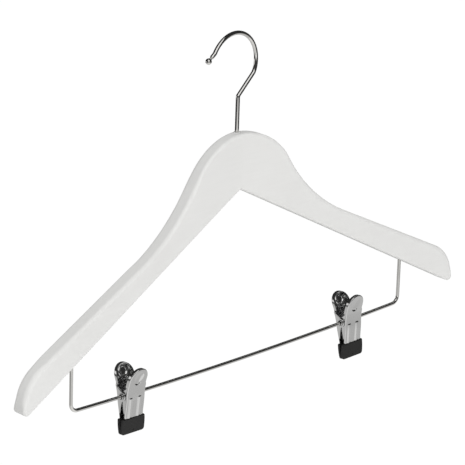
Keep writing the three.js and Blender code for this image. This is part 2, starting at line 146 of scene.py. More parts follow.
# Clips, measured from the axis of the bar
CLIP_PLACES = {"left": (-112.7, math.radians(2.7)), "right": (115.2, math.radians(6.6))}
CLIP_REACH_IN = 16.0
CLIP_REACH_OUT = 150.0
SHEET = 0.8
SHEET_EDGE = 0.25
SHEET_EDGE_STEPS = 3
SHEET_EDGE_ANGLE = math.radians(60)
RIM = 1.4
TAB_RIM = 2.5
FOOT_RIM = 0.45
RIM_BEND = 0.35
TAB_RISE = 21.9
TAB_SPREAD = 11.5
TAB_HALF_WIDTH = 8.6
PLATE_STANDOFF = 4.4
ELBOW_RISE = 3.0
BEND_SPREAD = 5.5
BEND_SAMPLES = 12
WIDTH_SPREAD = 0.8
EAR_RISE = 7.8
EAR_DROP = 13.2
EAR_HEEL = 1.2
EAR_RADIUS = 3.7
OUTER_EAR_HALF_WIDTH = 9.5
INNER_EAR_HALF_WIDTH = OUTER_EAR_HALF_WIDTH - SHEET - FIT_GAP
JAW_SIDE_STEPS = 150
JAW_CAP_STEPS = 40
JAW_INNER_STEPS = 42
JAW_BEND_STEPS = 4
JAW_RIM_STEPS = 5
JAW_BORE_LENGTH = 40
RIB_SPACING = 8.4
RIB_HALF_WIDTH = 1.9
RIB_HEIGHT = 0.5
RIB_TOP = -1.2
RIB_END = 0.8
RIB_CROWN = 0.35
DISH_HEIGHT = 15.4
DISH_RADIUS = 4.5
DISH_DEPTH = 0.6
RING_RADIUS = 3.6
RING_HALF_WIDTH = 0.9
RING_HEIGHT = 0.75
LANCE_HEIGHT = 10.6
LANCE_HALF_WIDTH = 3.4
LANCE_SAG = 2.5
LANCE_UPPER_SAG = 0.4
LANCE_SLOPE = 0.95
TUBE_WALL = 0.4
TUBE_HEAD = 4.9
TUBE_HEAD_WIDTH = 0.5
TUBE_HEAD_ROUND = 0.2
SPRING_WIRE = 1.0
SPRING_SIDES = 14
SPRING_TURNS = 4.5
SPRING_TURN_STEPS = 30
SPRING_PITCH = 1.25
SPRING_ARM_RISE = 16.0
SPRING_ARM_STEP = 3.0
PAD_WIDTH = 22.0
PAD_BULGE = 0.4
PAD_TOP = -17.2
PAD_HEIGHT = 12.4
PAD_THICKNESS = 2.2
PAD_STANDOFF = 2.05
PAD_TILT = math.radians(5.2)
PAD_CORNER = 2.0
PAD_TOP_CORNER = 0.8
PAD_SEGMENT = math.pi / 24
PAD_STEP = 1.5
PAD_ROUND = 0.7
PAD_EDGE_STEPS = 5
PAD_BACK_STEPS = 6
PAD_FRONT_STEPS = 4
PAD_EYE = 0.02
PAD_MARK_DROP = 9.6
PAD_MARK_RADIUS = 0.85
PAD_MARK_DEPTH = 0.4
# Shares of the mark's radius and depth, from its rim to its middle
PAD_MARK_PROFILE = [(1.15, 0.0), (1.0, 0.03), (0.85, 0.6), (0.4, 1.0), (PAD_EYE, 1.0)]
TONGUE_HALF_WIDTH = 8.0
TONGUE_LENGTH = 7.5
TONGUE_STOP = 0.05
SLOT_PAST = 5

# Looks
NOISE_LOW = 0.3
NOISE_HIGH = 0.7
WHITE_DARK = (0.775, 0.772, 0.757)
WHITE_LIGHT = (0.812, 0.811, 0.797)
RUBBER_DARK = (0.008, 0.008, 0.0078)
RUBBER_LIGHT = (0.016, 0.016, 0.0157)
CHROME_DARKER = 0.93

# Stage, in metres
STAGE_CENTRE = (0, 0, -0.14)
WORLD_STRENGTH = 0.69
FLOOR_REACH = 40.0
FLOOR_HEIGHT = -1.0
FLOOR_GREY = 0.72
FLOOR_SHADOW_GREY = 0.3
FLOOR_GLOW = 0.8
CARD_RADIUS = 0.8
CARD_PIECES = 24
CARD_LOWEST = -88
CARD_RISE = 174
CARD_FOOT = -1.0
CARD_TOP = 0.7
CARD_TINT = (1.0, 0.992, 0.982)
CAMERA_AZIMUTH = math.radians(44.525)
CAMERA_ELEVATION = math.radians(19.097)
CAMERA_ROLL = math.radians(1.834)
CAMERA_DISTANCE = 2.1188
CAMERA_LENS = 221.5
CAMERA_TARGET = (-0.0081, -0.0071, -0.0319)

# Greys of the reflection cards, each as (height, grey) from the foot up
DARK = [(-0.95, 0.62), (-0.55, 0.6), (-0.46, 0.52), (-0.41, 0.2), (-0.37, 0.04), (0.0, 0.03)]
REAR = [(-0.95, 0.62), (-0.58, 0.55), (-0.52, 0.34), (-0.42, 0.2), (-0.37, 0.04), (0.0, 0.03)]
WINDOW = DARK[:-1] + [(-0.28, 0.04), (-0.23, 0.85), (-0.05, 0.85), (0.0, 0.03)]
SIDE = [(-0.95, 0.58), (-0.5, 0.55), (-0.42, 0.48), (-0.36, 0.2), (-0.3, 0.05), (0.0, 0.03)]
PALE = [
    (-0.95, 0.86), (-0.55, 0.84), (-0.5, 0.72), (-0.42, 0.5), (-0.37, 0.14), (-0.3, 0.05),
    (0.0, 0.03),
]
OPEN = [
    (-0.95, 0.8), (-0.58, 0.78), (-0.52, 0.6), (-0.47, 0.62), (-0.42, 1.0), (-0.34, 1.0),
    (-0.27, 0.45), (-0.19, 0.05), (0.1, 0.05), (0.26, 1.0),
]

hook_centre = Vector((HOOK_OFFSET, HEAD_HEIGHT + HOOK_RISE))
saddle = hook_centre.y + math.sqrt((HOOK_RADIUS - HOOK_WIRE / 2) ** 2 - HOOK_OFFSET ** 2)
IN_FRAME = Matrix.Scale(MILLIMETRE, 4) @ Matrix.Translation((0, 0, -saddle))


# Outlines
def polar(centre, radius, angle):
    return Vector((centre.x + radius * math.cos(angle), centre.y + radius * math.sin(angle)))


def arc(centre, radius, start, end, step=SEGMENT):
    count = max(2, math.ceil(abs(end - start) / step))
    return [polar(centre, radius, start + (end - start) * i / count) for i in range(count + 1)]


def fillet(before, corner, after, radius, step=SEGMENT):
    to_before = (before - corner).normalized()
    to_after = (after - corner).normalized()
    half = math.acos(to_before.dot(to_after)) / 2
    centre = corner + (to_before + to_after).normalized() * (radius / math.sin(half))
    first = corner + to_before * (radius / math.tan(half)) - centre
    last = corner + to_after * (radius / math.tan(half)) - centre
    start = math.atan2(first.y, first.x)
    turn = math.atan2(last.y, last.x) - start
    turn = math.atan2(math.sin(turn), math.cos(turn))
    return arc(centre, radius, start, start + turn, step)


def line(start, end, step):
    count = max(1, math.ceil((end - start).length / step))
    return [start.lerp(end, i / count) for i in range(count + 1)]


def joined(*runs):
    points = []
    for run in runs:
        for p in run:
            if not points or (p - points[-1]).length > SAME_POINT:
                points.append(p)
    return points


# Meshes
def new_object(name, vertices, faces):
    mesh = bpy.data.meshes.new(name)
    mesh.from_pydata([tuple(v) for v in vertices], [], faces)
    obj = bpy.data.objects.new(name, mesh)
    bpy.context.scene.collection.objects.link(obj)
    return obj


def face_outwards(obj):
    bm = bmesh.new()
    bm.from_mesh(obj.data)
    bmesh.ops.recalc_face_normals(bm, faces=bm.faces)
    bm.to_mesh(obj.data)
    bm.free()


def apply_modifiers(obj):
    bpy.context.view_layer.update()
    evaluated = obj.evaluated_get(bpy.context.evaluated_depsgraph_get())
    made = bpy.data.meshes.new_from_object(evaluated)
    obj.modifiers.clear()
    old = obj.data
    obj.data = made
    bpy.data.meshes.remove(old)


def cut(obj, *cutters):
    for cutter in cutters:
        modifier = obj.modifiers.new("cut", "BOOLEAN")
        modifier.operation = "DIFFERENCE"
        modifier.solver = "EXACT"
        modifier.object = cutter
        apply_modifiers(obj)
        bpy.data.objects.remove(cutter)


def smooth(obj):
    obj.data.polygons.foreach_set("use_smooth", [True] * len(obj.data.polygons))


def shade(obj, angle=35, weighted=False):
    """Smooth shading with edges above an angle in degrees kept sharp."""
    smooth(obj)
    obj.data.set_sharp_from_angle(angle=math.radians(angle))
    if weighted:
        modifier = obj.modifiers.new("normals", "WEIGHTED_NORMAL")
        modifier.keep_sharp = True
        modifier.weight = 80


def numbered_rows(count, width):
    """Vertex numbers in rows of one width, for vertices that are listed row by row."""
    return [[i * width + k for k in range(width)] for i in range(count)]


def strips(rows, closed):
    """Quads between equal rows of vertex numbers, each row closed on itself or open."""
    faces = []
    for low, high in zip(rows, rows[1:]):
        count = len(low) if closed else len(low) - 1
        for i in range(count):
            j = (i + 1) % len(low)
            faces.append((low[i], low[j], high[j], high[i]))
    return faces


def lathe(name, profile, to_axis):
    """A ring turned from a closed profile of (radius, height) about the third axis of to_axis."""
    vertices = []
    for i in range(LATHE_SIDES):
        angle = 2 * math.pi * i / LATHE_SIDES
        for radius, height in profile:
            point = Vector((radius * math.cos(angle), radius * math.sin(angle), height))
            vertices.append(to_axis @ point)
    rows = numbered_rows(LATHE_SIDES, len(profile))
    obj = new_object(name, vertices, strips(rows + rows[:1], True))
    face_outwards(obj)
    return obj


def cylinder(radius, length, matrix, sides=48):
    """A round cutter about the third axis of matrix."""
    vertices = []
    for height in (-length / 2, length / 2):
        for i in range(sides):
            angle = 2 * math.pi * i / sides
            point = Vector((radius * math.cos(angle), radius * math.sin(angle), height))
            vertices.append(matrix @ point)
    low, high = numbered_rows(2, sides)
    faces = strips([low, high], True) + [low[::-1], high]
    return new_object("cutter", vertices, faces)


def post(radius, z0, z1, x=0.0, y=0.0):
    """An upright round cutter between two heights."""
    return cylinder(radius, z1 - z0, IN_FRAME @ Matrix.Translation((x, y, (z0 + z1) / 2)))


def prism(points, y0, y1, matrix):
    """A cutter with an outline in X and Z between two values of Y."""
    vertices = [matrix @ Vector((p.x, y, p.y)) for y in (y0, y1) for p in points]
    low, high = numbered_rows(2, len(points))
    obj = new_object("cutter", vertices, strips([low, high], True) + [low[::-1], high])
    face_outwards(obj)
    return obj


def wire(name, points, radii, matrix, sides):
    """A round wire through points, with its own radius at each of them."""
    vertices = []
    rows = []
    tangent = (points[1] - points[0]).normalized()
    side = tangent.orthogonal().normalized()
    last = len(points) - 1
    for i, (p, radius) in enumerate(zip(points, radii)):
        ahead = points[min(i + 1, last)] - points[max(i - 1, 0)]
        turned = ahead.normalized()
        side = (tangent.rotation_difference(turned) @ side).normalized()
        side = (side - turned * side.dot(turned)).normalized()
        up = turned.cross(side)
        tangent = turned
        row = []
        for k in range(sides):
            angle = 2 * math.pi * k / sides
            row.append(len(vertices))
            around = side * math.cos(angle) + up * math.sin(angle)
            vertices.append(matrix @ (p + around * radius))
        rows.append(row)
    obj = new_object(name, vertices, strips(rows, True) + [rows[0][::-1], rows[-1]])
    face_outwards(obj)
    shade(obj, angle=50)
    return obj


# Materials
def material(name, **sockets):
    made = bpy.data.materials.new(name)
    made.use_nodes = True
    tree = made.node_tree
    shader = tree.nodes["Principled BSDF"]
    for socket, value in sockets.items():
        shader.inputs[socket].default_value = value
    return made, tree, shader


def bare_tree(owner):
    """The node tree of a material or world, emptied."""
    owner.use_nodes = True
    owner.node_tree.nodes.clear()
    return owner.node_tree


def node(tree, kind, **settings):
    made = tree.nodes.new(kind)
    for name, value in settings.items():
        setattr(made, name, value)
    return made


def link(tree, source, target):
    tree.links.new(source, target)


def noise(tree, vector, scale=1.0, detail=4.0, roughness=0.5):
    made = node(tree, "ShaderNodeTexNoise")
    made.inputs["Scale"].default_value = scale
    made.inputs["Detail"].default_value = detail
    made.inputs["Roughness"].default_value = roughness
    link(tree, vector, made.inputs["Vector"])
    return made.outputs["Fac"]


def mapped(tree, scale=(1, 1, 1), rotation=(0, 0, 0)):
    coordinates = node(tree, "ShaderNodeTexCoord")
    mapping = node(tree, "ShaderNodeMapping")
    mapping.inputs["Scale"].default_value = scale
    mapping.inputs["Rotation"].default_value = rotation
    link(tree, coordinates.outputs["Object"], mapping.inputs["Vector"])
    return mapping.outputs["Vector"]


def ramp(tree, factor, low, high):
    """Colour from low to high over the usual range of a noise."""
    made = node(tree, "ShaderNodeValToRGB")
    first, second = made.color_ramp.elements
    first.position = NOISE_LOW
    first.color = (*low, 1)
    second.position = NOISE_HIGH
    second.color = (*high, 1)
    link(tree, factor, made.inputs["Fac"])
    return made.outputs["Color"]


def spread(tree, factor, low, high):
    """A value from low to high over the usual range of a noise."""
    made = node(tree, "ShaderNodeMapRange")
    made.inputs["From Min"].default_value = NOISE_LOW
    made.inputs["From Max"].default_value = NOISE_HIGH
    made.inputs["To Min"].default_value = low
    made.inputs["To Max"].default_value = high
    link(tree, factor, made.inputs["Value"])
    return made.outputs["Result"]


def bump(tree, shader, height, strength, distance):
    made = node(tree, "ShaderNodeBump")
    made.inputs["Strength"].default_value = strength
    made.inputs["Distance"].default_value = distance
    link(tree, height, made.inputs["Height"])
    link(tree, made.outputs["Normal"], shader.inputs["Normal"])


def paint(name, turn):
    """White satin paint with a faint grain along the span.

    The turn comes after the stretch, so it only makes the grain of the two arms differ.
    """
    made, tree, shader = material(name, IOR=1.48)
    grain = mapped(tree, (26, 420, 420), (0, turn, 0))
    fine = noise(tree, grain, detail=5.0, roughness=0.6)
    patches = noise(tree, mapped(tree, (14, 14, 14)), detail=3.0)
    mixed = node(tree, "ShaderNodeMix", data_type="FLOAT")
    mixed.inputs["Factor"].default_value = 0.45
    link(tree, patches, mixed.inputs["A"])
    link(tree, fine, mixed.inputs["B"])
    colour = ramp(tree, mixed.outputs["Result"], WHITE_DARK, WHITE_LIGHT)
    link(tree, colour, shader.inputs["Base Color"])
    link(tree, spread(tree, fine, low=0.46, high=0.58), shader.inputs["Roughness"])
    bump(tree, shader, fine, strength=0.12, distance=0.0002)
    return made


def chrome(name, base, low, high, stretch):
    """Bright plate with fine drawing marks, a slight change of tone and a range of roughness."""
    made, tree, shader = material(name, Metallic=1.0)
    marks = noise(tree, mapped(tree, stretch), detail=6.0, roughness=0.65)
    clouds = noise(tree, mapped(tree, (90, 90, 90)), detail=3.0)
    darker = tuple(CHROME_DARKER * c for c in base)
    link(tree, ramp(tree, clouds, darker, base), shader.inputs["Base Color"])
    link(tree, spread(tree, marks, low, high), shader.inputs["Roughness"])
    bump(tree, shader, marks, strength=0.05, distance=0.00005)
    return made


def rubber_material():
    """Matt black rubber with a fine moulded grain."""
    made, tree, shader = material("black_rubber", IOR=1.5)
    grain = noise(tree, mapped(tree), scale=2600.0, detail=3.0, roughness=0.6)
    dust = noise(tree, mapped(tree), scale=160.0, detail=4.0, roughness=0.6)
    link(tree, ramp(tree, dust, RUBBER_DARK, RUBBER_LIGHT), shader.inputs["Base Color"])
    link(tree, spread(tree, dust, low=0.5, high=0.68), shader.inputs["Roughness"])
    bump(tree, shader, grain, strength=0.35, distance=0.00008)
    return made


def nylon_material():
    """Matt white nylon with a faint flow of tone from moulding."""
    made, tree, shader = material("white_nylon", IOR=1.53)
    flow = noise(tree, mapped(tree), scale=340.0, detail=3.0)
    link(tree, ramp(tree, flow, WHITE_DARK, WHITE_LIGHT), shader.inputs["Base Color"])
    link(tree, spread(tree, flow, low=0.5, high=0.62), shader.inputs["Roughness"])
    return made


left_paint = paint("white_paint_left", UNDERSIDE_SLOPE)
right_paint = paint("white_paint_right", -UNDERSIDE_SLOPE)
wire_chrome = chrome("chrome_wire", (0.81, 0.805, 0.785), 0.035, 0.08, (1500, 1500, 160))
sheet_chrome = chrome("chrome_sheet", (0.745, 0.75, 0.748), 0.07, 0.13, (260, 900, 1700))
spring_steel = chrome("plain_steel", (0.46, 0.46, 0.47), 0.25, 0.42, (1200, 1200, 1200))
rubber = rubber_material()
nylon = nylon_material()


def finished(obj, body, node_name, finish):
    obj.data.materials.clear()
    obj.data.materials.append(finish)
    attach(obj, body)
    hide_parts(node_name)
    return obj


# Wooden arms
def underside_height(x):
    return -abs(x) * math.tan(UNDERSIDE_SLOPE)


def arm_line(x):
    return -abs(x) * math.tan(SWEEP)


def soft_arm_line(x):
    return -math.hypot(x, CREASE) * math.tan(SWEEP)


def arm_outline():
    """The right half of the outline from the apex round to the top of the head.

    With each point come the roundings of the edge there, at the front and at the back.
    """
    end = SPAN / 2
    apex = Vector((0, 0))
    heel = Vector((end, underside_height(end)))
    tip = Vector((end, SHOULDER_RISE - end * math.tan(SHOULDER_SLOPE)))
    head_centre = Vector((0, HEAD_HEIGHT - HEAD_RADIUS))
    along = Vector((math.cos(SHOULDER_SLOPE), -math.sin(SHOULDER_SLOPE)))
    above = Vector((math.sin(SHOULDER_SLOPE), math.cos(SHOULDER_SLOPE)))
    start = Vector((0, SHOULDER_RISE)) + above * NECK_RADIUS
    offset = start - head_centre
    reach = HEAD_RADIUS + NECK_RADIUS
    ahead = offset.dot(along)
    travel = math.sqrt(reach ** 2 - offset.length_squared + ahead ** 2) - ahead
    neck_centre = start + along * travel
    toward_neck = neck_centre - head_centre
    head_angle = math.atan2(toward_neck.y, toward_neck.x)
    heel_reach = HEEL_RADIUS / math.tan((math.pi / 2 - UNDERSIDE_SLOPE) / 2)
    round_room = tip.y - heel.y - heel_reach - END_LAND
    tip_radius = min(TIP_RADIUS, round_room / math.tan((math.pi / 2 - SHOULDER_SLOPE) / 2))
    heel_turn = fillet(apex, heel, tip, HEEL_RADIUS, HEEL_SEGMENT)
    tip_turn = fillet(heel, tip, Vector((0, SHOULDER_RISE)), tip_radius, TIP_SEGMENT)
    neck_angle = math.pi * 1.5 - SHOULDER_SLOPE
    neck = arc(neck_centre, NECK_RADIUS, neck_angle, head_angle + math.pi, LONG_SEGMENT)
    head = arc(head_centre, HEAD_RADIUS, head_angle, math.pi / 2, FINE_SEGMENT)
    runs = [
        (line(apex, heel_turn[0], STRAIGHT_STEP), UNDERSIDE_ROUND, UNDERSIDE_ROUND),
        (heel_turn, UNDERSIDE_ROUND, UNDERSIDE_ROUND),
        (tip_turn, END_ROUND, END_BACK_ROUND),
        (line(tip_turn[-1], neck[0], STRAIGHT_STEP), SHOULDER_ROUND, SHOULDER_ROUND),
        (neck, SHOULDER_ROUND, NECK_BACK_ROUND),
        (head, HEAD_ROUND, HEAD_BACK_ROUND),
    ]
    points = []
    fronts = []
    backs = []
    for run, front, back in runs:
        for p in run:
            if not points or (p - points[-1]).length > SAME_VERTEX:
                points.append(p)
                fronts.append(front)
                backs.append(back)
    return points, softened(points, fronts, ROUND_BLEND), softened(points, backs, ROUND_BLEND)


def softened(points, values, reach):
    """Values along a line of points, averaged over a reach to each side."""
    lengths = [0.0]
    for a, b in zip(points, points[1:]):
        lengths.append(lengths[-1] + (b - a).length)
    result = []
    for at in lengths:
        weights = [max(0.0, 1 - abs(other - at) / reach) for other in lengths]
        result.append(sum(w * v for w, v in zip(weights, values)) / sum(weights))
    return result


def inward_normals(points):
    normals = []
    last = len(points) - 1
    for i in range(len(points)):
        t = (points[min(i + 1, last)] - points[max(i - 1, 0)]).normalized()
        normals.append(Vector((-t.y, t.x)))
    normals[0] = Vector((0, 1 / math.cos(UNDERSIDE_SLOPE)))
    normals[last] = Vector((0, -1))
    return normals


def rounded_column(p, inward, front, back, thickness, steps):
    """Points across a slab's edge, from its back face over both roundings to its front face."""
    half = thickness / 2
    turns = [math.pi / 2 * k / steps for k in range(steps + 1)]
    column = []
    for turn in reversed(turns):
        q = p + inward * (back * (1 - math.cos(turn)))
        column.append(Vector((q.x, half - back + back * math.sin(turn), q.y)))
    for turn in turns:
        q = p + inward * (front * (1 - math.cos(turn)))
        column.append(Vector((q.x, front - half - front * math.sin(turn), q.y)))
    return column


def arm(side):
    points, fronts, backs = arm_outline()
    columns = [
        rounded_column(p, inward, front, back, THICKNESS, ARM_EDGE_STEPS)
        for p, inward, front, back in zip(points, inward_normals(points), fronts, backs)
    ]
    vertices = [Vector((side * v.x, v.y, v.z)) for column in columns for v in column]
    rows = numbered_rows(len(columns), len(columns[0]))
    faces = strips(rows, False)
    faces.append([row[-1] for row in rows])
    faces.append([row[0] for row in reversed(rows)])
    faces.append(rows[0] + rows[-1][::-1])
    obj = new_object("left_wooden_arm" if side < 0 else "right_wooden_arm", vertices, faces)
    bm = bmesh.new()
    bm.from_mesh(obj.data)
    # The faces are split near the middle, so that they can follow the soft crease there.
    for x in CREASE_CUTS:
        geometry = list(bm.verts) + list(bm.edges) + list(bm.faces)
        bmesh.ops.bisect_plane(bm, geom=geometry, plane_co=(side * x, 0, 0), plane_no=(1, 0, 0))
    for v in bm.verts:
        v.co.y += soft_arm_line(v.co.x)
        v.co = IN_FRAME @ v.co
    bmesh.ops.recalc_face_normals(bm, faces=bm.faces)
    bm.to_mesh(obj.data)
    bm.free()
    leg_x = side * BAR_SPAN / 2
    leg_foot = underside_height(leg_x)
    leg_hole = (leg_foot - LEG_DEPTH, leg_foot + LEG_DEPTH + FIT_GAP)
    stem_bore = HOOK_WIRE / 2 + FIT_GAP
    bush_bore = stem_bore + BUSH_WALL + FIT_GAP
    seat = HEAD_HEIGHT - BUSH_FLANGE_HEIGHT / 2
    cut(
        obj,
        post(BAR_WIRE / 2 + FIT_GAP, *leg_hole, leg_x, arm_line(leg_x)),
        post(POCKET / 2, -POCKET, POCKET_ROOF),
        post(stem_bore, POCKET_ROOF - STEM_CUT_LAP, HEAD_HEIGHT),
        post(bush_bore, seat - BUSH_LENGTH - FIT_GAP, HEAD_HEIGHT + BUSH_CUT_PAST),
        post(BUSH_FLANGE / 2 + FIT_GAP, seat - FIT_GAP, HEAD_HEIGHT + FLANGE_CUT_PAST),
    )
    shade(obj, angle=38, weighted=True)
    return obj


finished(arm(-1), "frame", "left_arm", left_paint)
finished(arm(1), "frame", "right_arm", right_paint)


# Swivel hook
def swivel_hook():
    lead = polar(hook_centre, HOOK_RADIUS, HOOK_LEAD_ANGLE)
    knee = polar(lead, HOOK_LEAD_LENGTH, HOOK_LEAD_ANGLE - math.pi / 2)
    knee_turn = HOOK_LEAD_ANGLE + math.pi / 2 - HOOK_NECK_SLOPE
    elbow = Vector((0, knee.y - knee.x * math.tan(HOOK_NECK_SLOPE)))
    stem_foot = Vector((0, POCKET_ROOF + FIT_GAP))
    loop_end = polar(hook_centre, HOOK_RADIUS, HOOK_END_ANGLE)
    ball_centre = polar(loop_end, HOOK_TIP_LENGTH, HOOK_TIP_ANGLE)
    before_loop_end = polar(hook_centre, HOOK_RADIUS, HOOK_END_ANGLE - HOOK_END_CHORD)
    tip_turn = fillet(before_loop_end, loop_end, ball_centre, HOOK_TIP_BEND, FINE_SEGMENT)
    loop = [
        p for p in arc(hook_centre, HOOK_RADIUS, HOOK_LEAD_ANGLE, HOOK_END_ANGLE, LONG_SEGMENT)
        if (p - loop_end).length > (tip_turn[0] - loop_end).length
    ]
    rod = joined(
        line(stem_foot, Vector((0, elbow.y - HOOK_STEM_STOP)), STRAIGHT_STEP),
        fillet(stem_foot, elbow, knee, HOOK_BEND_RADIUS, FINE_SEGMENT),
        fillet(elbow, knee, lead, HOOK_LEAD_LENGTH / math.tan(knee_turn / 2), FINE_SEGMENT),
        loop,
        tip_turn,
    )
    ball = HOOK_BALL / 2
    neck = HOOK_BALL_NECK / 2
    wire_radius = HOOK_WIRE / 2 + HOOK_PLATE
    waist = math.asin(neck / ball)
    tip_way = (ball_centre - loop_end).normalized()
    swell = [
        math.pi - waist + (waist - math.pi + HOOK_BALL_POLE) * i / HOOK_BALL_STEPS
        for i in range(HOOK_BALL_STEPS + 1)
    ]
    foot = [
        (SPIGOT_FOOT, SPIGOT / 2 - SPIGOT_CHAMFER),
        (SPIGOT_FOOT + SPIGOT_CHAMFER, SPIGOT / 2),
        (stem_foot.y - SPIGOT_STOP, SPIGOT / 2),
    ]
    flat = [Vector((0, z)) for z, _ in foot] + rod
    radii = [r for _, r in foot] + [wire_radius] * len(rod)
    shoulder_start = HOOK_BALL_NECK_LENGTH + wire_radius - neck - HOOK_BALL_NECK_LAP
    for turn in HOOK_BALL_NECK_TURNS:
        away = shoulder_start + (neck - wire_radius) * math.sin(turn)
        flat.append(ball_centre - tip_way * away)
        radii.append(neck + (wire_radius - neck) * math.cos(turn))
    flat += [ball_centre + tip_way * (ball * math.cos(angle)) for angle in swell]
    radii += [ball * math.sin(angle) for angle in swell]
    turned = IN_FRAME @ Matrix.Rotation(HOOK_TURN, 4, "Z")
    points = [Vector((p.x, 0, p.y)) for p in flat]
    return wire("wire_hook", points, radii, turned, HOOK_SIDES)


def hook_bush():
    bore = HOOK_WIRE / 2 + FIT_GAP
    wall = bore + BUSH_WALL
    seat = HEAD_HEIGHT - BUSH_FLANGE_HEIGHT / 2
    rim = BUSH_FLANGE / 2
    crown = [
        (
            rim - BUSH_FLANGE_HEIGHT * (1 - math.cos(turn)),
            seat + BUSH_FLANGE_HEIGHT * math.sin(turn),
        )
        for turn in QUARTER_TURN
    ]
    foot = seat - BUSH_LENGTH
    top = seat + BUSH_FLANGE_HEIGHT
    mouth = [(bore + BUSH_CHAMFER, top), (bore, top - BUSH_CHAMFER)]
    profile = [(bore, foot), (wall, foot), (wall, seat), *crown, *mouth]
    obj = lathe("stem_bush", profile, IN_FRAME)
    shade(obj)
    return obj


finished(swivel_hook(), "hook", "swivel_hook", wire_chrome)
finished(hook_bush(), "frame", "hook_bush", nylon)
for name in ("hook_washer", "hook_nut"):
    hidden_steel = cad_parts[name]
    hidden_steel.data.materials.clear()
    hidden_steel.data.materials.append(spring_steel)


# Wire bar
bar_end = BAR_SPAN / 2
bar_line = arm_line(bar_end)


def bar_height(x):
    return -BAR_DROP - BAR_BOW * (1 - (x / bar_end) ** 2) + BAR_LEAN * x / bar_end


def bar_slope(x):
    return 2 * BAR_BOW * x / bar_end ** 2 + BAR_LEAN / bar_end


def bar_corner(side):
    end = side * bar_end
    leg_top = Vector((end, underside_height(end) + LEG_DEPTH))
    corner = Vector((end, bar_height(end)))
    along_span = Vector((0, corner.y - end * bar_slope(end)))
    turn = fillet(leg_top, corner, along_span, BAR_BEND_RADIUS, BAR_BEND_SEGMENT)
    return joined(line(leg_top, turn[0], LEG_STEP), turn)


def trouser_bar():
    left = bar_corner(-1)
    right = bar_corner(1)[::-1]
    first, last = left[-1].x, right[0].x
    span = [first + (last - first) * i / BAR_PIECES for i in range(1, BAR_PIECES)]
    flat = left + [Vector((x, bar_height(x))) for x in span] + right
    points = [Vector((p.x, bar_line, p.y)) for p in flat]
    radii = [BAR_WIRE / 2 + BAR_PLATE] * len(points)
    return wire("wire_bar", points, radii, IN_FRAME, BAR_SIDES)


finished(trouser_bar(), "frame", "trouser_bar", wire_chrome)

# Clips
tube_bore = BAR_WIRE / 2 + BAR_CLEARANCE
tube_radius = tube_bore + TUBE_WALL
tongue_end = PAD_TOP - TONGUE_LENGTH
jaw_foot = PAD_TOP + FIT_GAP
cap_height = TAB_RISE - TAB_HALF_WIDTH


def interpolated(knots, at):
    """The value of a bent line, level before its first knot and straight on after its last."""
    if at <= knots[0][0]:
        return knots[0][1]
    for (a, va), (b, vb) in zip(knots, knots[1:]):
        if at <= b:
            return va + (vb - va) * (at - a) / (b - a)
    (a, va), (b, vb) = knots[-2:]
    return vb + (at - b) * (vb - va) / (b - a)


def eased(knots, at, reach):
    """The value of a bent line with its corners rounded over a reach to each side."""
    places = [at + reach * (2 * (i + 0.5) / BEND_SAMPLES - 1) for i in range(BEND_SAMPLES)]
    return sum(interpolated(knots, place) for place in places) / BEND_SAMPLES


def tongue_at(z):
    """The middle of the sheet inside the pad, which leans towards the other pad."""
    return PAD_STANDOFF + (z - PAD_TOP) * math.tan(PAD_TILT)


SHEET_KNOTS = [
    (PAD_TOP - PAD_HEIGHT, tongue_at(PAD_TOP - PAD_HEIGHT)),
    (jaw_foot + SHEET, tongue_at(jaw_foot + SHEET)),
    (-ELBOW_RISE, PLATE_STANDOFF),
    (ELBOW_RISE, PLATE_STANDOFF),
    (TAB_RISE, TAB_SPREAD),
]


def sheet_at(z):
    return interpolated(SHEET_KNOTS, z)


def jaw_half_width(z, ear_half):
    if z < jaw_foot:
        return TONGUE_HALF_WIDTH
    knots = [
        (jaw_foot, ear_half),
        (EAR_RISE, ear_half),
        (EAR_RISE + SHEET, TAB_HALF_WIDTH),
        (TAB_RISE, TAB_HALF_WIDTH),
    ]
    return eased(knots, z, WIDTH_SPREAD)


def ear_front(z):
    """How far forward the side ear reaches at a height, or None beyond the ear."""
    if z <= -EAR_DROP or z >= EAR_RISE:
        return None
    if abs(z) <= EAR_RADIUS:
        return -math.sqrt(EAR_RADIUS ** 2 - z * z)
    edge = [
        (-EAR_DROP, sheet_at(-EAR_DROP)),
        (-EAR_DROP + SHEET, EAR_HEEL),
        (-EAR_RADIUS, 0.0),
        (EAR_RADIUS, 0.0),
        (EAR_RISE, sheet_at(EAR_RISE)),
    ]
    return interpolated(edge, z)


def pressed(x, z, ringed):
    """The relief of the pressing: a dish or a ring, a lanced crescent below it, and two ribs."""
    relief = 0.0
    from_middle = math.hypot(x, z - DISH_HEIGHT)
    from_ring = abs(from_middle - RING_RADIUS) / RING_HALF_WIDTH
    if ringed and from_ring < 1:
        relief -= RING_HEIGHT * (1 - from_ring ** 2)
    if not ringed and from_middle < DISH_RADIUS:
        relief -= DISH_DEPTH * (1 - (from_middle / DISH_RADIUS) ** 2)
    bow = 1 - (x / LANCE_HALF_WIDTH) ** 2
    below = LANCE_HEIGHT - LANCE_UPPER_SAG * bow - z
    height = (LANCE_SAG - LANCE_UPPER_SAG) * bow
    if 0 < below < height:
        relief -= LANCE_SLOPE * (height - below)
    if z < jaw_foot:
        return relief
    for middle in (-RIB_SPACING / 2, RIB_SPACING / 2):
        across = (x - middle) / RIB_HALF_WIDTH
        along = max(0.0, z - RIB_TOP + RIB_END) / RIB_END
        from_rib = math.hypot(across, along)
        if from_rib < 1:
            relief += RIB_HEIGHT * (1 - from_rib) * (1 + RIB_CROWN * from_rib)
    return relief


